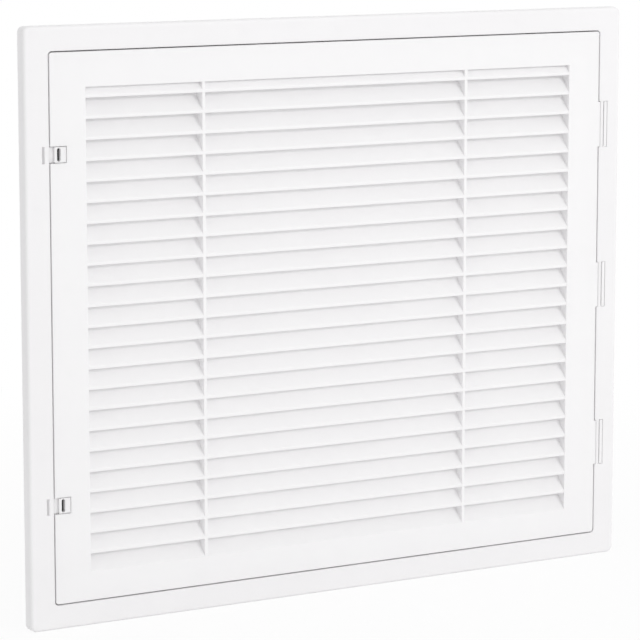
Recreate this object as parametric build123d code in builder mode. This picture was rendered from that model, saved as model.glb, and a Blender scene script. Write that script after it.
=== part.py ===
"""Return air filter grille: a moulded wall frame, a hinged louvred door and two slide latches.

The room is towards -Y and the wall face is the plane y = 0. The hinges are on the +X side.
All sizes are in millimetres.
"""

import os

from build123d import *

# Wall frame: flange, well for the door, ledge, collar and rear lip
frame_width = 670.0
frame_height = 569.0
flange_depth = 13.0
flange_corner = 6.0
flange_edge_round = 2.8
frame_wall = 2.5
side_border = 24.7
end_border = 23.15
well_corner = 3.8
edge_break = 0.5

# Ledge behind the door, collar that reaches into the duct, and the lip that holds the filter.
# The collar takes a flat filter of 597 by 495 mm with 1.4 mm to spare on each side.
ledge_side = 8.1
ledge_end = 10.15
collar_wall = 2.3
collar_length = 32.0
lip_width = 8.0
lip_thickness = 2.0

# Countersunk screw holes in the ledge, hidden behind the door
screw_spacing_x = 420.0
screw_edge_gap = 4.0
screw_hole_radius = 2.2
screw_head_radius = 3.5
screw_head_angle = 90.0

# Stiffening webs behind the flange
web_thickness = 1.8
web_setback = 1.5
end_web_spacing = 104.0
end_web_inset = 70.0
side_web_beyond_hinge = 59.4
side_web_below_hinge = 83.6

# Door
door_gap = 1.2
door_face = 2.4
door_wall = 2.0
door_rest_gap = 0.3
door_web_setback = 1.6
door_web_thickness = 1.6
door_web_beyond_latch = 54.4
door_web_below_latch = 85.6
door_web_side_gap = 89.1
door_web_inner_gap = 140.0

# Louvres, and the margins of the door's face round their field
door_side_margin = 36.6
door_top_margin = 32.85
door_least_bottom_margin = 25.0
louvre_pitch = 19.65
louvre_first_drop = 10.2
louvre_lip_height = 2.8
louvre_lip_thickness = 1.4
louvre_lip_round = 0.6
louvre_setback = 0.4
louvre_depth = 14.0
louvre_rise = 17.0
louvre_thickness = 1.6
cell_wall = 1.8
rib_thickness = 3.2
rib_spacing = 296.0
root_overlap = 0.9

# Hinges: a bar in the frame and a hook on the door, three times
hinge_end_gap = 94.55
hinge_count = 3
hinge_length = 47.0
hinge_bar = 4.0
hinge_bar_round = 1.2
hinge_bar_seat = 2.4
hinge_axis_inset = 3.5
hook_clearance = 0.6
hook_thickness = 2.3
hook_tip_width = 3.2
hook_window_gap = 0.8
hook_end_gap = 0.6
hook_swing_gap = 0.5

# Latches
latch_end_gap = 94.55
latch_height = 15.8
latch_window_reach = 16.7
latch_clearance = 0.3
latch_travel = 4.2
latch_plate = 1.6
latch_base_margin = 3.1
latch_base_length = 14.4
latch_tongue_drawback = 0.1
latch_pad_recess = 0.15
latch_pad_width = 11.7
finger_slot_width = 3.6
finger_slot_height = 12.6
finger_slot_offset = 2.5
guide_wall = 2.0
guide_overlap = 1.7
guide_length = 22.0
keeper_strip = 4.6
keeper_slot_width = 2.8

# Places that follow from the sizes above
front = -flange_depth
well_width = frame_width - 2 * side_border
well_height = frame_height - 2 * end_border
collar_outer_width = well_width - 2 * ledge_side
collar_outer_height = well_height - 2 * ledge_end
collar_inner_width = collar_outer_width - 2 * collar_wall
collar_inner_height = collar_outer_height - 2 * collar_wall
ledge_front = -frame_wall
screw_height = well_height / 2 - screw_edge_gap
end_web_count = int((frame_width - 2 * end_web_inset) / end_web_spacing) + 1

door_width = well_width - 2 * door_gap
door_height = well_height - 2 * door_gap
door_corner = well_corner - door_gap
door_edge = door_width / 2
door_top = door_height / 2
door_face_back = front + door_face
door_back = ledge_front - door_rest_gap

louvre_front = front + louvre_setback
louvre_back = louvre_front + louvre_depth
louvre_field_width = door_width - 2 * door_side_margin
louvre_field_top = door_top - door_top_margin
louvre_first_lip = louvre_field_top - louvre_first_drop
louvre_room = louvre_first_lip + door_top - door_least_bottom_margin
louvre_count = int(louvre_room / louvre_pitch) + 1
louvre_last_lip = louvre_first_lip - (louvre_count - 1) * louvre_pitch
louvre_field_bottom = louvre_last_lip + louvre_lip_height
louvre_field_height = louvre_field_top - louvre_field_bottom
louvre_field_middle = (louvre_field_top + louvre_field_bottom) / 2

hinge_x = well_width / 2 + hinge_axis_inset
hinge_y = front + hinge_bar / 2
hinge_top = door_top - hinge_end_gap
hinge_spacing = 2 * hinge_top / (hinge_count - 1)
hinge_heights = [hinge_spacing * (i - (hinge_count - 1) / 2) for i in range(hinge_count)]
hook_inner = hinge_bar / 2 + hook_clearance
hook_outer = hook_inner + hook_thickness
hook_tip_reach = hook_inner + hook_tip_width
window_reach = hook_tip_reach + hook_window_gap
hook_swing = (hook_tip_reach**2 + (hinge_bar / 2) ** 2) ** 0.5 + hook_swing_gap

latch_top = door_top - latch_end_gap
latch_heights = {"latch_upper": latch_top, "latch_lower": -latch_top}
latch_window_end = -door_edge + latch_window_reach
latch_pad_right = latch_window_end - 2 * latch_clearance
latch_pad_left = latch_pad_right - latch_pad_width
latch_base_front = front + frame_wall + latch_clearance
latch_base_back = latch_base_front + latch_plate
latch_tip = -door_edge + latch_tongue_drawback
latch_base_left = -door_edge + door_wall + latch_clearance + latch_travel
latch_base_half = latch_height / 2 + latch_base_margin
latch_tongue_half = latch_height / 2 - 2 * latch_clearance
guide_left = -door_edge + door_wall
keeper_slot_x = -well_width / 2 - keeper_strip - keeper_slot_width / 2

side_web_heights = (hinge_top + side_web_beyond_hinge, hinge_top - side_web_below_hinge)
door_web_heights = (latch_top + door_web_beyond_latch, latch_top - door_web_below_latch)
door_web_outer = door_edge - door_web_side_gap
door_web_places = (door_web_outer, door_web_outer - door_web_inner_gap)


def facing_room(y):
    """A sketch plane at depth y that looks into the room: X to the right and Z up."""
    return Plane.XZ.offset(-y)


def span(low, high):
    """Middle and length of a stretch."""
    return (low + high) / 2, high - low


def box_between(x_range, y_range, z_range, mode=Mode.ADD):
    """A block given by its limits along the three axes."""
    middles, lengths = zip(span(*x_range), span(*y_range), span(*z_range))
    with Locations(middles):
        Box(*lengths, mode=mode)


with BuildPart() as frame:
    # Solid outline of the flange, rounded towards the room
    with BuildSketch(facing_room(0)):
        RectangleRounded(frame_width, frame_height, flange_corner)
    extrude(amount=flange_depth)
    fillet(frame.faces().sort_by(Axis.Y)[0].edges(), flange_edge_round)

    # Hollow behind the flange
    with BuildSketch(facing_room(0)):
        RectangleRounded(
            frame_width - 2 * frame_wall,
            frame_height - 2 * frame_wall,
            flange_corner - frame_wall,
        )
        RectangleRounded(
            well_width + 2 * frame_wall,
            well_height + 2 * frame_wall,
            well_corner + frame_wall,
            mode=Mode.SUBTRACT,
        )
    extrude(amount=flange_depth - frame_wall, mode=Mode.SUBTRACT)

    # Webs that stiffen the flange
    rim_inner = frame_width / 2 - frame_wall / 2
    rim_top = frame_height / 2 - frame_wall / 2
    web_depths = (front + frame_wall / 2, -web_setback)
    half_web = web_thickness / 2
    well_side = well_width / 2 + frame_wall / 2
    well_end = well_height / 2 + frame_wall / 2
    for height in side_web_heights:
        for z in (-height, height):
            for stretch in ((-rim_inner, -well_side), (well_side, rim_inner)):
                box_between(stretch, web_depths, (z - half_web, z + half_web))
    for i in range(end_web_count):
        x = end_web_spacing * (i - (end_web_count - 1) / 2)
        for stretch in ((-rim_top, -well_end), (well_end, rim_top)):
            box_between((x - half_web, x + half_web), web_depths, stretch)

    # Well for the door, down to the ledge
    with BuildSketch(facing_room(ledge_front)):
        RectangleRounded(well_width, well_height, well_corner)
    extrude(amount=flange_depth, mode=Mode.SUBTRACT)
    mouth = frame.faces().filter_by(Axis.Y).sort_by(Axis.Y)[0].inner_wires()
    fillet(mouth.edges(), edge_break)

    # Collar into the duct, with the rear lip that holds the filter
    with BuildSketch(facing_room(collar_length)):
        Rectangle(collar_outer_width, collar_outer_height)
    extrude(amount=collar_length)
    with BuildSketch(facing_room(collar_length - lip_thickness)):
        Rectangle(collar_inner_width, collar_inner_height)
    extrude(amount=collar_length + flange_depth, mode=Mode.SUBTRACT)
    with BuildSketch(facing_room(collar_length)):
        Rectangle(collar_inner_width - 2 * lip_width, collar_inner_height - 2 * lip_width)
    extrude(amount=lip_thickness, mode=Mode.SUBTRACT)

    # Screw holes through the ledge
    with Locations(facing_room(ledge_front)):
        with GridLocations(screw_spacing_x, 2 * screw_height, 2, 2):
            CounterSinkHole(
                screw_hole_radius,
                screw_head_radius,
                depth=frame_wall,
                counter_sink_angle=screw_head_angle,
            )

    for z in hinge_heights:
        # Window round the hinge bar, deep enough for the hook to swing in
        box_between(
            (well_width / 2 - door_gap, hinge_x + window_reach),
            (front - frame_wall, hinge_y + hook_swing),
            (z - hinge_length / 2, z + hinge_length / 2),
            mode=Mode.SUBTRACT,
        )
        # Hinge bar, seated in both ends of the window
        with BuildSketch(Plane.XY.offset(z - hinge_length / 2 - hinge_bar_seat)):
            with Locations((hinge_x, hinge_y)):
                RectangleRounded(hinge_bar, hinge_bar, hinge_bar_round)
        extrude(amount=hinge_length + 2 * hinge_bar_seat)

    for z in latch_heights.values():
        # Slot in the face and window in the well wall, with the keeper strip between them
        box_between(
            (keeper_slot_x - keeper_slot_width / 2, keeper_slot_x + keeper_slot_width / 2),
            (front - frame_wall, front + 2 * frame_wall),
            (z - latch_height / 2, z + latch_height / 2),
            mode=Mode.SUBTRACT,
        )
        box_between(
            (-well_width / 2 - 2 * frame_wall, -well_width / 2 + door_gap),
            (front + frame_wall, latch_base_back + 2 * latch_clearance),
            (z - latch_height / 2, z + latch_height / 2),
            mode=Mode.SUBTRACT,
        )

frame.part.label = "frame"


with BuildPart() as door:
    # Louvre blades: an upright front lip and a slope that rises towards the back
    slope = louvre_rise / louvre_depth
    drop = louvre_thickness * (1 + slope**2) ** 0.5
    lip_back = louvre_front + louvre_lip_thickness
    for i in range(louvre_count):
        lip = louvre_first_lip - i * louvre_pitch
        lip_top = lip + louvre_lip_height
        back_top = lip_top + louvre_rise
        with BuildSketch(Plane.YZ.offset(-louvre_field_width / 2 - root_overlap)) as blade:
            with BuildLine():
                Polyline(
                    (louvre_front, lip),
                    (louvre_front, lip_top),
                    (louvre_back, back_top),
                    (louvre_back, back_top - drop),
                    (lip_back, lip_top + slope * louvre_lip_thickness - drop),
                    (lip_back, lip),
                    close=True,
                )
            make_face()
            fillet(blade.vertices().sort_by(Axis.X)[:2], louvre_lip_round)
        extrude(amount=louvre_field_width + 2 * root_overlap)

    # Ribs that tie the blades together
    for x in (-rib_spacing / 2, rib_spacing / 2):
        box_between(
            (x - rib_thickness / 2, x + rib_thickness / 2),
            (louvre_front, louvre_back),
            (louvre_field_bottom - louvre_pitch, louvre_field_top + louvre_pitch),
        )

    # Blades and ribs end in the walls of the louvre opening
    with BuildSketch(facing_room(louvre_back)):
        with Locations((0, louvre_field_middle)):
            Rectangle(
                louvre_field_width + 2 * root_overlap,
                louvre_field_height + 2 * root_overlap,
            )
    extrude(amount=louvre_depth + flange_depth, mode=Mode.INTERSECT)

    # Walls of the louvre opening
    with BuildSketch(facing_room(louvre_back)):
        with Locations((0, louvre_field_middle)):
            Rectangle(louvre_field_width + 2 * cell_wall, louvre_field_height + 2 * cell_wall)
            Rectangle(louvre_field_width, louvre_field_height, mode=Mode.SUBTRACT)
    extrude(amount=louvre_back - door_face_back)

    # Face, with its front edge broken
    with BuildSketch(facing_room(door_face_back)) as face_sketch:
        RectangleRounded(door_width, door_height, door_corner)
        with Locations((0, louvre_field_middle)):
            Rectangle(louvre_field_width, louvre_field_height, mode=Mode.SUBTRACT)
    extrude(amount=door_face)
    rim = door.faces().filter_by(Axis.Y).sort_by(Axis.Y)[0].outer_wire()
    fillet(rim.edges(), edge_break)

    # Skirt round the door
    with BuildSketch(facing_room(door_back)):
        RectangleRounded(door_width, door_height, door_corner)
        offset(amount=-door_wall, mode=Mode.SUBTRACT)
    extrude(amount=door_back - door_face_back)

    # Webs between the skirt and the louvre opening
    half_web = door_web_thickness / 2
    web_depths = (door_face_back - door_face / 2, door_back - door_web_setback)
    side_in = louvre_field_width / 2 + cell_wall / 2
    side_out = door_edge - door_wall / 2
    top_in = louvre_field_top + cell_wall / 2
    bottom_in = louvre_field_bottom - cell_wall / 2
    top_out = door_top - door_wall / 2
    for height in door_web_heights:
        for z in (-height, height):
            for stretch in ((-side_out, -side_in), (side_in, side_out)):
                box_between(stretch, web_depths, (z - half_web, z + half_web))
    for place in door_web_places:
        for x in (-place, place):
            for stretch in ((-top_out, bottom_in), (top_in, top_out)):
                box_between((x - half_web, x + half_web), web_depths, stretch)

    # Hooks that reach behind the hinge bars and show their tips beside them
    for z in hinge_heights:
        hook_length = hinge_length - 2 * hook_end_gap
        with BuildSketch(Plane.XY.offset(z - hook_length / 2)):
            with Locations((hinge_x, hinge_y)):
                Circle(hook_outer)
                with Locations((0, -hook_outer / 2)):
                    Rectangle(2 * hook_outer, hook_outer, mode=Mode.SUBTRACT)
                with Locations((-hook_outer, -hinge_bar / 4)):
                    Rectangle(2 * hook_thickness, hinge_bar / 2)
                with Locations((hook_inner + hook_tip_width / 2, -hinge_bar / 8)):
                    Rectangle(hook_tip_width, hinge_bar * 3 / 4)
                Circle(hook_inner, mode=Mode.SUBTRACT)
                with Locations((0, -hinge_bar / 4)):
                    Rectangle(2 * hook_inner, hinge_bar / 2, mode=Mode.SUBTRACT)
        extrude(amount=hook_length)

    for z in latch_heights.values():
        # Window in the face and in the skirt, open towards the frame
        box_between(
            (-door_edge - door_gap, latch_window_end),
            (front - frame_wall, door_face_back),
            (z - latch_height / 2, z + latch_height / 2),
            mode=Mode.SUBTRACT,
        )
        box_between(
            (-door_edge - door_gap, -door_edge + door_wall),
            (door_face_back, latch_base_back + 2 * latch_clearance),
            (z - latch_height / 2, z + latch_height / 2),
            mode=Mode.SUBTRACT,
        )
        # Two rails that carry the slider behind the face
        rail_back = latch_base_back + latch_clearance + latch_plate
        for side in (-1, 1):
            inner = side * (latch_base_half + latch_clearance)
            outer = inner + side * guide_wall
            toe = inner - side * guide_overlap
            box_between(
                (guide_left - door_wall / 2, guide_left + guide_length),
                (door_face_back - door_face / 4, rail_back),
                (z + min(inner, outer), z + max(inner, outer)),
            )
            box_between(
                (guide_left - door_wall / 2, guide_left + guide_length),
                (latch_base_back + latch_clearance, rail_back),
                (z + min(toe, outer), z + max(toe, outer)),
            )

door.part.label = "door"


def make_latch(z):
    """A slider with a tongue, a raised thumb pad and a finger slot, drawn back from the frame."""
    with BuildPart() as latch:
        # Base plate that runs in the rails
        box_between(
            (latch_base_left, latch_base_left + latch_base_length),
            (latch_base_front, latch_base_back),
            (z - latch_base_half, z + latch_base_half),
        )
        # Tongue that passes behind the keeper strip
        box_between(
            (latch_tip, latch_base_left),
            (latch_base_front, latch_base_back),
            (z - latch_tongue_half, z + latch_tongue_half),
        )
        # Thumb pad in the window of the door
        box_between(
            (latch_pad_left, latch_pad_right),
            (front + latch_pad_recess, latch_base_front),
            (z - latch_tongue_half, z + latch_tongue_half),
        )
        # Finger slot with round ends
        with BuildSketch(facing_room(latch_base_back)):
            with Locations((latch_pad_left + finger_slot_offset + finger_slot_width / 2, z)):
                SlotOverall(finger_slot_height, finger_slot_width, rotation=90)
        extrude(amount=flange_depth, mode=Mode.SUBTRACT)
    return latch.part


latches = {name: make_latch(z) for name, z in latch_heights.items()}
for name, latch in latches.items():
    latch.label = name

os.makedirs("parts", exist_ok=True)
export_step(frame.part, "parts/frame.step")
export_step(door.part, "parts/door.step")
for name, latch in latches.items():
    export_step(latch, f"parts/{name}.step")
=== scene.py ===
"""Return air filter grille in satin white moulded plastic, standing on a pale floor in soft light."""

import math

import bmesh
import bpy
from bpy.props import FloatProperty, FloatVectorProperty, IntProperty, PointerProperty
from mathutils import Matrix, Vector


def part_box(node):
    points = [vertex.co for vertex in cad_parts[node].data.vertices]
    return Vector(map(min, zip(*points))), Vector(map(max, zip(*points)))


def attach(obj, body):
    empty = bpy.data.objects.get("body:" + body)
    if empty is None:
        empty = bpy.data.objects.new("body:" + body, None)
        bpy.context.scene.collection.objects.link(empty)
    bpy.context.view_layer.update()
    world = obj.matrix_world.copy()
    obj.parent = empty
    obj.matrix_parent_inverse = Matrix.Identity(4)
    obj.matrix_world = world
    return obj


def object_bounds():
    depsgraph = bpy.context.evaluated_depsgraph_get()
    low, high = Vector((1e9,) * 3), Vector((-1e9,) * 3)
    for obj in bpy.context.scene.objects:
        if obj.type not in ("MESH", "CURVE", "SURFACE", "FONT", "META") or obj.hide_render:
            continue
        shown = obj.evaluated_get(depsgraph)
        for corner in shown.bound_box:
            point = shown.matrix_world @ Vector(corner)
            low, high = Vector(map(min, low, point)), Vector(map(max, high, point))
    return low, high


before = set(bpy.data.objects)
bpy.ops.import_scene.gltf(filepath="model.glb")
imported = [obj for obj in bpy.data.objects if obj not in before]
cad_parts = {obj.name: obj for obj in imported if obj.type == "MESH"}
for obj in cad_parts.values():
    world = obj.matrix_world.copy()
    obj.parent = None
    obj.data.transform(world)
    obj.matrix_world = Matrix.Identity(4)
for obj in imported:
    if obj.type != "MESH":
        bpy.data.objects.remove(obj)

CAD_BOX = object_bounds()
MM = 0.001
SENSOR_WIDTH = 36  # millimetres
LATCHES = ("latch_upper", "latch_lower")

bl_info = {
    "name": "Return Air Filter Grille",
    "version": (1, 0, 0),
    "blender": (4, 5, 0),
    "location": "View3D > Sidebar > Grille",
    "description": "Finishes, mould marks, latch pads and stage of a louvred filter grille",
    "category": "Object",
}


def from_hex(code):
    """An sRGB hex colour as linear RGB."""
    parts = [int(code[i:i + 2], 16) / 255 for i in (1, 3, 5)]
    return tuple(v / 12.92 if v <= 0.04045 else ((v + 0.055) / 1.055) ** 2.4 for v in parts)


class GrilleFinish(bpy.types.PropertyGroup):
    """Colours and surface of the moulded plastic."""

    frame_white: FloatVectorProperty(
        name="Frame", description="White of the wall frame",
        subtype="COLOR", size=3, min=0.0, max=1.0, default=from_hex("#f4f3f4"),
    )
    door_white: FloatVectorProperty(
        name="Door", description="White of the louvred door",
        subtype="COLOR", size=3, min=0.0, max=1.0, default=from_hex("#f7f6f7"),
    )
    latch_white: FloatVectorProperty(
        name="Latch", description="White of the slide latches",
        subtype="COLOR", size=3, min=0.0, max=1.0, default=from_hex("#f5f4f5"),
    )
    grain: FloatProperty(
        name="Grain", description="Width of a grain of the etched mould texture",
        subtype="DISTANCE", unit="LENGTH", default=0.9 * MM, min=0.1 * MM, max=5 * MM,
    )
    glow: FloatProperty(
        name="Glow", description="Share of the light that soaks into the plastic",
        subtype="FACTOR", default=0.35, min=0.0, max=1.0,
    )
    glow_reach: FloatProperty(
        name="Glow reach", description="How far light travels in the plastic",
        subtype="DISTANCE", unit="LENGTH", default=3 * MM, min=0.1 * MM, max=20 * MM,
    )


class GrilleMarks(bpy.types.PropertyGroup):
    """Round marks that the ejector pins of the mould leave on the hidden side."""

    radius: FloatProperty(
        name="Pin radius", description="Radius of an ejector pin",
        subtype="DISTANCE", unit="LENGTH", default=3.2 * MM, min=1 * MM, max=8 * MM,
    )
    height: FloatProperty(
        name="Mark height", description="How far a mark stands proud",
        subtype="DISTANCE", unit="LENGTH", default=0.3 * MM, min=0.05 * MM, max=1 * MM,
    )
    sides: IntProperty(
        name="Sides", description="Number of sides of a mark", default=28, min=8, max=64,
    )
    flange_skin: FloatProperty(
        name="Flange skin", description="Thickness of the flange that the marks stand on",
        subtype="DISTANCE", unit="LENGTH", default=2.5 * MM, min=1 * MM, max=6 * MM,
    )
    flange_inset: FloatProperty(
        name="Flange inset", description="From the frame's edge to a mark on the flange",
        subtype="DISTANCE", unit="LENGTH", default=12.2 * MM, min=5 * MM, max=30 * MM,
    )
    flange_step: FloatProperty(
        name="Flange step", description="Between two marks along the top and the bottom",
        subtype="DISTANCE", unit="LENGTH", default=104 * MM, min=20 * MM, max=200 * MM,
    )
    flange_side_height: FloatProperty(
        name="Flange side height", description="From the middle up or down to a mark on a side",
        subtype="DISTANCE", unit="LENGTH", default=116 * MM, min=0.0, max=250 * MM,
    )
    door_skin: FloatProperty(
        name="Door skin", description="Thickness of the door's face that the marks stand on",
        subtype="DISTANCE", unit="LENGTH", default=2.4 * MM, min=1 * MM, max=6 * MM,
    )
    door_inset: FloatProperty(
        name="Door inset", description="From the door's edge to a mark at the top or a side",
        subtype="DISTANCE", unit="LENGTH", default=17 * MM, min=5 * MM, max=30 * MM,
    )
    door_foot_inset: FloatProperty(
        name="Door foot inset", description="From the door's edge to a mark at the bottom",
        subtype="DISTANCE", unit="LENGTH", default=14.5 * MM, min=5 * MM, max=30 * MM,
    )
    door_step: FloatProperty(
        name="Door step", description="Between two marks along the top and the bottom",
        subtype="DISTANCE", unit="LENGTH", default=150 * MM, min=20 * MM, max=250 * MM,
    )
    door_side_height: FloatProperty(
        name="Door side height", description="From the middle up or down to a mark on a side",
        subtype="DISTANCE", unit="LENGTH", default=40 * MM, min=0.0, max=250 * MM,
    )


class GrillePads(bpy.types.PropertyGroup):
    """Foam pads between the rails, which press on the backs of the sliders."""

    length: FloatProperty(
        name="Pad length", description="Length of a pad between the rails",
        subtype="DISTANCE", unit="LENGTH", default=14.0 * MM, min=5 * MM, max=40 * MM,
    )
    nose: FloatProperty(
        name="Nose length", description="Length of the narrow nose behind the slider's tongue",
        subtype="DISTANCE", unit="LENGTH", default=4.4 * MM, min=1 * MM, max=10 * MM,
    )
    nose_height: FloatProperty(
        name="Nose height", description="Height of the narrow nose",
        subtype="DISTANCE", unit="LENGTH", default=13.8 * MM, min=2 * MM, max=18 * MM,
    )
    inset: FloatProperty(
        name="Pad inset", description="From the slider's end back to the pad's end",
        subtype="DISTANCE", unit="LENGTH", default=0.2 * MM, min=0.0, max=5 * MM,
    )
    toe: FloatProperty(
        name="Toe", description="How far a rail's toe and its clearance reach over the slider",
        subtype="DISTANCE", unit="LENGTH", default=1.5 * MM, min=0.5 * MM, max=5 * MM,
    )
    depth: FloatProperty(
        name="Pad depth", description="Thickness of a pad",
        subtype="DISTANCE", unit="LENGTH", default=3.4 * MM, min=1 * MM, max=6 * MM,
    )
    gap: FloatProperty(
        name="Pad gap", description="Between a pad and its slider",
        subtype="DISTANCE", unit="LENGTH", default=0.1 * MM, min=0.0, max=1 * MM,
    )
    corner: FloatProperty(
        name="Pad corner", description="Rounding of a pad's edges",
        subtype="DISTANCE", unit="LENGTH", default=0.7 * MM, min=0.1 * MM, max=2 * MM,
    )


class GrilleStage(bpy.types.PropertyGroup):
    """Floor, light and camera."""

    floor_radius: FloatProperty(
        name="Floor radius", description="Radius of the round floor",
        subtype="DISTANCE", unit="LENGTH", default=4.0, min=1.0, max=20.0,
    )
    azimuth: FloatProperty(
        name="Azimuth", description="Turn of the camera round the grille",
        subtype="ANGLE", unit="ROTATION", default=math.radians(-30.43),
    )
    elevation: FloatProperty(
        name="Elevation", description="Height of the camera above the horizon",
        subtype="ANGLE", unit="ROTATION", default=math.radians(8.88),
    )
    distance: FloatProperty(
        name="Distance", description="From the camera to the middle of the face",
        subtype="DISTANCE", unit="LENGTH", default=3.030, min=0.5, max=10.0,
    )
    lens: FloatProperty(
        name="Lens", description="Focal length on a 36 mm wide sensor",
        subtype="DISTANCE_CAMERA", default=173.8, min=20.0, max=400.0,
    )
    aim_right: FloatProperty(
        name="Aim right", description="How far the grille stands to the right of the view's middle",
        subtype="DISTANCE", unit="LENGTH", default=17.9 * MM,
    )
    aim_up: FloatProperty(
        name="Aim up", description="How far the grille stands above the view's middle",
        subtype="DISTANCE", unit="LENGTH", default=12.4 * MM,
    )
    sky: FloatProperty(
        name="Soft light", description="Even white light from all round",
        default=0.78, min=0.0, max=2.0,
    )
    key_power: FloatProperty(
        name="Key light", description="Power of the soft lamp",
        subtype="POWER", unit="POWER", default=52.0, min=0.0, max=1000.0,
    )
    key_azimuth: FloatProperty(
        name="Key azimuth", description="Turn of the lamp round the grille, 0 straight in front",
        subtype="ANGLE", unit="ROTATION", default=math.radians(20),
    )
    key_elevation: FloatProperty(
        name="Key elevation", description="Height of the lamp above the horizon",
        subtype="ANGLE", unit="ROTATION", default=math.radians(20),
    )
    key_distance: FloatProperty(
        name="Key distance", description="From the lamp to the grille",
        subtype="DISTANCE", unit="LENGTH", default=5.0, min=0.5, max=10.0,
    )
    key_width: FloatProperty(
        name="Key width", description="Width of the lamp's face",
        subtype="DISTANCE", unit="LENGTH", default=0.8, min=0.1, max=3.0,
    )
    key_height: FloatProperty(
        name="Key height", description="Height of the lamp's face",
        subtype="DISTANCE", unit="LENGTH", default=0.7, min=0.1, max=3.0,
    )


def direction(azimuth, elevation):
    """From the grille towards a place turned round it by the azimuth, from straight in front."""
    return Vector((
        math.sin(azimuth) * math.cos(elevation),
        -math.cos(azimuth) * math.cos(elevation),
        math.sin(elevation),
    ))


def settings(name):
    """The user's values in a group of this scene."""
    return getattr(bpy.context.scene, name)


def add_node(tree, kind, values=None, links=None, **fields):
    """One shader node with its fields, input values and incoming links."""
    node = tree.nodes.new(kind)
    for field, value in fields.items():
        setattr(node, field, value)
    for socket, value in (values or {}).items():
        node.inputs[socket].default_value = value
    for socket, source in (links or {}).items():
        tree.links.new(source, node.inputs[socket])
    return node


def new_material(name):
    """An empty material and its node tree."""
    material = bpy.data.materials.new(name)
    material.use_nodes = True
    material.node_tree.nodes.clear()
    return material, material.node_tree


def moulded_plastic(name, colour, roughness, tone_spread):
    """White moulded plastic: ABS from an etched mould, or smoother acetal at a lower roughness.

    The mould's steel leaves a fine even grain that breaks up the gloss, and the melt's flow leaves
    broad, very weak changes of tone. Light soaks a few millimetres into the plastic, so thin blades
    glow a little and their shadows stay soft.
    """
    finish = settings("grille_finish")
    flow_width = 60 * MM
    pit_depth = 0.05 * MM
    gloss_spread = 0.05
    material, tree = new_material(name)
    place = add_node(tree, "ShaderNodeTexCoord").outputs["Object"]
    flow = add_node(
        tree, "ShaderNodeTexNoise",
        {"Scale": 1 / flow_width, "Detail": 3.0, "Roughness": 0.45, "Distortion": 0.6},
        {"Vector": place},
    )
    tone = add_node(tree, "ShaderNodeValToRGB", links={"Fac": flow.outputs["Fac"]})
    deep, pale = tone.color_ramp.elements
    deep.position, pale.position = 0.3, 0.7
    deep.color = (*[v * (1 - tone_spread) for v in colour], 1)
    pale.color = (*colour, 1)
    # Drawn about three times as coarse as real mould grain, which is too fine to show
    pits = add_node(
        tree, "ShaderNodeTexNoise",
        {"Scale": 1 / finish.grain, "Detail": 2.0, "Roughness": 0.5}, {"Vector": place},
    )
    satin = add_node(
        tree, "ShaderNodeMapRange",
        {
            "From Min": 0.25,
            "From Max": 0.75,
            "To Min": roughness - gloss_spread,
            "To Max": roughness + gloss_spread,
        },
        {"Value": pits.outputs["Fac"]},
    )
    dents = add_node(
        tree, "ShaderNodeBump", {"Strength": 0.12, "Distance": pit_depth},
        {"Height": pits.outputs["Fac"]},
    )
    surface = add_node(
        tree, "ShaderNodeBsdfPrincipled",
        {
            "IOR": 1.53,
            "Specular IOR Level": 0.35,
            "Subsurface Weight": finish.glow,
            "Subsurface Radius": (1.0, 1.0, 1.0),
            "Subsurface Scale": finish.glow_reach,
        },
        {
            "Base Color": tone.outputs["Color"],
            "Roughness": satin.outputs["Result"],
            "Normal": dents.outputs["Normal"],
        },
    )
    add_node(tree, "ShaderNodeOutputMaterial", links={"Surface": surface.outputs["BSDF"]})
    return material


def seen_directly(tree):
    """1 for rays from the camera, mirrors and glass, and 0 for light that reaches a surface."""
    path = add_node(tree, "ShaderNodeLightPath")
    mirror = add_node(
        tree, "ShaderNodeMath", operation="MAXIMUM",
        links={0: path.outputs["Is Camera Ray"], 1: path.outputs["Is Glossy Ray"]},
    )
    glass = add_node(
        tree, "ShaderNodeMath", operation="MAXIMUM",
        links={0: mirror.outputs[0], 1: path.outputs["Is Transmission Ray"]},
    )
    return glass.outputs[0]


def backdrop_paper():
    """Matt white background paper, which fades into the white surroundings away from the grille."""
    fade_start, fade_end, least = 0.4, 1.2, 0.9
    material, tree = new_material("backdrop_matt_white_paper")
    place = add_node(tree, "ShaderNodeTexCoord").outputs["Object"]
    reach = add_node(tree, "ShaderNodeVectorMath", operation="LENGTH", links={0: place})
    fade = add_node(
        tree, "ShaderNodeMapRange",
        {"From Min": fade_start, "From Max": fade_end, "To Min": least, "To Max": 1.0},
        {"Value": reach.outputs["Value"]},
    )
    white = add_node(
        tree, "ShaderNodeMath", operation="MULTIPLY",
        links={0: fade.outputs["Result"], 1: seen_directly(tree)},
    )
    paper = add_node(tree, "ShaderNodeBsdfDiffuse", {"Color": (*from_hex("#fafafa"), 1)})
    glow = add_node(tree, "ShaderNodeEmission", {"Color": (1, 1, 1, 1), "Strength": 1.0})
    mixed = add_node(
        tree, "ShaderNodeMixShader",
        links={"Fac": white.outputs[0], 1: paper.outputs["BSDF"], 2: glow.outputs["Emission"]},
    )
    add_node(tree, "ShaderNodeOutputMaterial", links={"Surface": mixed.outputs["Shader"]})
    return material


def light_surroundings(strength):
    """White all round to the eye, with light of the given strength on the grille."""
    world = bpy.data.worlds.new("white_studio")
    bpy.context.scene.world = world
    world.use_nodes = True
    tree = world.node_tree
    tree.nodes.clear()
    level = add_node(
        tree, "ShaderNodeMapRange", {"To Min": strength, "To Max": 1.0},
        {"Value": seen_directly(tree)},
    )
    sky = add_node(
        tree, "ShaderNodeBackground", {"Color": (1, 1, 1, 1)}, {"Strength": level.outputs["Result"]},
    )
    add_node(tree, "ShaderNodeOutputWorld", links={"Surface": sky.outputs["Background"]})


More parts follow.
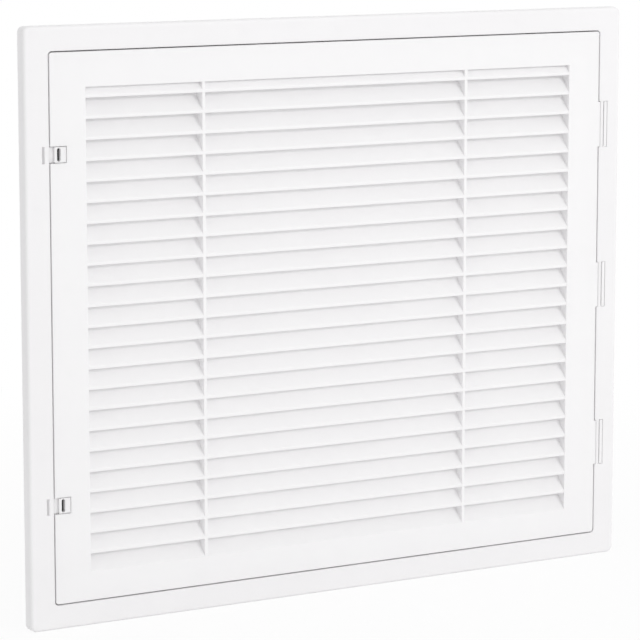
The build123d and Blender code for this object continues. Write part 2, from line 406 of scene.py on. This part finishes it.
def dress(node, material):
    """Gives a CAD node its material in every slot."""
    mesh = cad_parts[node].data
    if not mesh.materials:
        mesh.materials.append(material)
    for i in range(len(mesh.materials)):
        mesh.materials[i] = material


def foam_black_as_painted_shade():
    """Open-celled polyether foam, cut from a block, whose torn cells make it dull and rough. Its
    near-black is painted shade, standing in for the dark cavity seen through the latch's finger slot.
    """
    cell = 0.8 * MM
    cell_depth = 0.3 * MM
    material, tree = new_material("pad_foam_black_as_painted_slot_shade")
    place = add_node(tree, "ShaderNodeTexCoord").outputs["Object"]
    cells = add_node(
        tree, "ShaderNodeTexVoronoi", {"Scale": 1 / cell, "Randomness": 1.0}, {"Vector": place},
    )
    tone = add_node(tree, "ShaderNodeValToRGB", links={"Fac": cells.outputs["Distance"]})
    deep, pale = tone.color_ramp.elements
    # Both near-black tones are painted shade, so the finger slot reads as a deep shaded cavity
    deep.color = (*from_hex("#1a1a1c"), 1)
    pale.color = (*from_hex("#3b3b3e"), 1)
    pores = add_node(
        tree, "ShaderNodeBump", {"Strength": 0.7, "Distance": cell_depth},
        {"Height": cells.outputs["Distance"]},
    )
    surface = add_node(
        tree, "ShaderNodeBsdfPrincipled", {"Roughness": 0.95, "Specular IOR Level": 0.2},
        {"Base Color": tone.outputs["Color"], "Normal": pores.outputs["Normal"]},
    )
    add_node(tree, "ShaderNodeOutputMaterial", links={"Surface": surface.outputs["BSDF"]})
    return material


def deselect():
    """Leaves edit mode and selects nothing."""
    if bpy.context.object and bpy.context.object.mode != "OBJECT":
        bpy.ops.object.mode_set(mode="OBJECT")
    bpy.ops.object.select_all(action="DESELECT")


def select_faces(piece, normal):
    """Selects the faces of the piece in edit mode that look along the normal."""
    least_cosine = 0.9
    bpy.ops.mesh.select_mode(type="FACE")
    bpy.ops.mesh.select_all(action="DESELECT")
    mesh = bmesh.from_edit_mesh(piece.data)
    for face in mesh.faces:
        face.select = face.normal.dot(normal) > least_cosine
    bmesh.update_edit_mesh(piece.data)


def pin_mark(centre):
    """A low round pad with a dished middle, as an ejector pin leaves it, facing the duct."""
    # Widths of rim and slope as shares of the radius, depth of the dish as a share of the height
    rim, slope, dish = 0.22, 0.10, 0.6
    marks = settings("grille_marks")
    deselect()
    bpy.ops.mesh.primitive_cylinder_add(
        vertices=marks.sides, radius=marks.radius, depth=marks.height,
        location=centre + Vector((0, marks.height / 2, 0)), rotation=(math.radians(-90), 0, 0),
    )
    mark = bpy.context.object
    bpy.ops.object.transform_apply(location=True, rotation=True, scale=True)
    bpy.ops.object.mode_set(mode="EDIT")
    select_faces(mark, Vector((0, 1, 0)))
    bpy.ops.mesh.inset(thickness=marks.radius * rim, depth=0.0)
    bpy.ops.mesh.inset(thickness=marks.radius * slope, depth=-marks.height * dish)
    bpy.ops.object.mode_set(mode="OBJECT")
    return mark


def add_marks(node, places):
    """Pin marks at the places as one piece, in the plastic of the node that they ride on."""
    marks = [pin_mark(place) for place in places]
    deselect()
    for mark in marks:
        mark.select_set(True)
    bpy.context.view_layer.objects.active = marks[0]
    bpy.ops.object.join()
    piece = bpy.context.object
    piece.name = f"{node}_pin_marks"
    piece.data.materials.append(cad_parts[node].data.materials[0])
    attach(piece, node)


class GRILLE_OT_finish_frame(bpy.types.Operator):
    """Give the wall frame its satin white plastic"""

    bl_idname = "grille.finish_frame"
    bl_label = "Finish the frame"

    def execute(self, context):
        white = settings("grille_finish").frame_white
        plastic = moulded_plastic("frame_abs_etched_mould", white, roughness=0.5, tone_spread=0.012)
        dress("frame", plastic)
        return {"FINISHED"}


class GRILLE_OT_finish_door(bpy.types.Operator):
    """Give the louvred door its satin white plastic"""

    bl_idname = "grille.finish_door"
    bl_label = "Finish the door"

    def execute(self, context):
        white = settings("grille_finish").door_white
        plastic = moulded_plastic("door_abs_etched_mould", white, roughness=0.48, tone_spread=0.012)
        dress("door", plastic)
        return {"FINISHED"}


class GRILLE_OT_finish_latches(bpy.types.Operator):
    """Give the two slide latches their smoother white plastic"""

    bl_idname = "grille.finish_latches"
    bl_label = "Finish the latches"

    def execute(self, context):
        white = settings("grille_finish").latch_white
        plastic = moulded_plastic(
            "latch_acetal_polished_mould", white, roughness=0.3, tone_spread=0.006,
        )
        for node in LATCHES:
            dress(node, plastic)
        return {"FINISHED"}


class GRILLE_OT_frame_marks(bpy.types.Operator):
    """Add the ejector pin marks behind the frame's flange"""

    bl_idname = "grille.frame_marks"
    bl_label = "Mark the frame's back"

    def execute(self, context):
        marks = settings("grille_marks")
        low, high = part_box("frame")
        depth = low.y + marks.flange_skin
        side_place = high.x - marks.flange_inset
        end_place = high.z - marks.flange_inset
        places = []
        for side in (-1, 1):
            for i in range(-2, 3):
                places.append(Vector((i * marks.flange_step, depth, side * end_place)))
            for i in (-1, 1):
                places.append(Vector((side * side_place, depth, i * marks.flange_side_height)))
        add_marks("frame", places)
        return {"FINISHED"}


class GRILLE_OT_door_marks(bpy.types.Operator):
    """Add the ejector pin marks behind the door's face"""

    bl_idname = "grille.door_marks"
    bl_label = "Mark the door's back"

    def execute(self, context):
        marks = settings("grille_marks")
        low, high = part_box("door")
        depth = low.y + marks.door_skin
        side_place = -low.x - marks.door_inset
        places = []
        for i in (-1, 0, 1):
            across = i * marks.door_step
            places.append(Vector((across, depth, high.z - marks.door_inset)))
            places.append(Vector((across, depth, low.z + marks.door_foot_inset)))
        for side in (-1, 1):
            for i in (-1, 1):
                places.append(Vector((side * side_place, depth, i * marks.door_side_height)))
        add_marks("door", places)
        return {"FINISHED"}


class GRILLE_OT_latch_pads(bpy.types.Operator):
    """Add the foam pads behind the two sliders"""

    bl_idname = "grille.latch_pads"
    bl_label = "Add the latch pads"

    def execute(self, context):
        sharp, smooth = math.radians(30), math.radians(35)
        pads = settings("grille_pads")
        # The pads' black is painted shade, seen through the sliders' finger slots
        foam = foam_black_as_painted_shade()
        for latch in LATCHES:
            low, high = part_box(latch)
            size = Vector((pads.length, pads.depth, high.z - low.z - 2 * pads.toe))
            corner = Vector((high.x - pads.inset, high.y + pads.gap, low.z + pads.toe))
            middle = corner + Vector((-size.x, size.y, size.z)) / 2
            deselect()
            bpy.ops.mesh.primitive_cube_add(size=1, location=middle, scale=size)
            pad = bpy.context.object
            bpy.ops.object.transform_apply(location=True, rotation=True, scale=True)
            bpy.ops.object.mode_set(mode="EDIT")
            select_faces(pad, Vector((-1, 0, 0)))
            bpy.ops.mesh.extrude_region()
            bpy.ops.transform.resize(
                value=(1, 1, pads.nose_height / size.z), center_override=middle,
            )
            bpy.ops.mesh.extrude_region_move(TRANSFORM_OT_translate={"value": (-pads.nose, 0, 0)})
            bpy.ops.mesh.select_mode(type="EDGE")
            bpy.ops.mesh.select_all(action="DESELECT")
            bpy.ops.mesh.edges_select_sharp(sharpness=sharp)
            bpy.ops.mesh.bevel(offset=pads.corner, segments=4, profile=0.5, affect="EDGES")
            bpy.ops.mesh.select_all(action="SELECT")
            bpy.ops.mesh.normals_make_consistent(inside=False)
            bpy.ops.object.mode_set(mode="OBJECT")
            bpy.ops.object.shade_smooth_by_angle(angle=smooth)
            pad.name = f"{latch}_pad"
            pad.data.materials.append(foam)
            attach(pad, "door")
        return {"FINISHED"}


class GRILLE_OT_stage(bpy.types.Operator):
    """Set up the floor, the soft light and the camera"""

    bl_idname = "grille.stage"
    bl_label = "Set the stage"

    def execute(self, context):
        stage = settings("grille_stage")
        low = CAD_BOX[0]
        deselect()
        bpy.ops.mesh.primitive_circle_add(
            vertices=64, radius=stage.floor_radius, fill_type="NGON", location=(0, 0, low.z),
        )
        floor = bpy.context.object
        floor.name = "floor"
        floor.data.materials.append(backdrop_paper())

        light_surroundings(stage.sky)
        towards_key = direction(stage.key_azimuth, stage.key_elevation)
        bpy.ops.object.light_add(type="AREA", location=towards_key * stage.key_distance)
        key = bpy.context.object
        key.name = "key_softbox"
        key.data.shape = "RECTANGLE"
        key.data.size, key.data.size_y = stage.key_width, stage.key_height
        key.data.energy = stage.key_power
        key.rotation_euler = (-towards_key).to_track_quat("-Z", "Y").to_euler()

        back = direction(stage.azimuth, stage.elevation)
        right = Vector((math.cos(stage.azimuth), math.sin(stage.azimuth), 0))
        up = back.cross(right)
        face = Vector((0, low.y, 0))
        aim = -right * stage.aim_right - up * stage.aim_up
        bpy.ops.object.camera_add(location=face + back * stage.distance + aim)
        camera = bpy.context.object
        camera.name = "camera"
        camera.rotation_euler = (-back).to_track_quat("-Z", "Y").to_euler()
        camera.data.sensor_width = SENSOR_WIDTH
        camera.data.lens = stage.lens
        nearest, farthest = 0.05, 50
        camera.data.clip_start, camera.data.clip_end = nearest, farthest
        context.scene.camera = camera
        context.scene.view_settings.view_transform = "Standard"
        return {"FINISHED"}


class GRILLE_PT_panel(bpy.types.Panel):
    """The sizes and colours, and a button for each piece"""

    bl_label = "Filter grille"
    bl_idname = "GRILLE_PT_panel"
    bl_space_type = "VIEW_3D"
    bl_region_type = "UI"
    bl_category = "Grille"

    def draw(self, context):
        for group in GROUPS:
            box = self.layout.box()
            for field in GROUPS[group].__annotations__:
                box.prop(getattr(context.scene, group), field)
        for operator in OPERATORS:
            self.layout.operator(operator.bl_idname)


GROUPS = {
    "grille_finish": GrilleFinish,
    "grille_marks": GrilleMarks,
    "grille_pads": GrillePads,
    "grille_stage": GrilleStage,
}
OPERATORS = (
    GRILLE_OT_finish_frame,
    GRILLE_OT_finish_door,
    GRILLE_OT_finish_latches,
    GRILLE_OT_frame_marks,
    GRILLE_OT_door_marks,
    GRILLE_OT_latch_pads,
    GRILLE_OT_stage,
)


def register():
    """Makes the classes and the groups of settings known to Blender."""
    for name, group in GROUPS.items():
        bpy.utils.register_class(group)
        setattr(bpy.types.Scene, name, PointerProperty(type=group))
    for kind in (*OPERATORS, GRILLE_PT_panel):
        bpy.utils.register_class(kind)


def unregister():
    """Takes the classes and the groups of settings away again."""
    for kind in reversed((*OPERATORS, GRILLE_PT_panel)):
        bpy.utils.unregister_class(kind)
    for name, group in GROUPS.items():
        delattr(bpy.types.Scene, name)
        bpy.utils.unregister_class(group)


def main():
    """Builds every piece and the stage in order."""
    register()
    for operator in OPERATORS:
        family, call = operator.bl_idname.split(".")
        getattr(getattr(bpy.ops, family), call)()


if __name__ == "__main__":
    main()
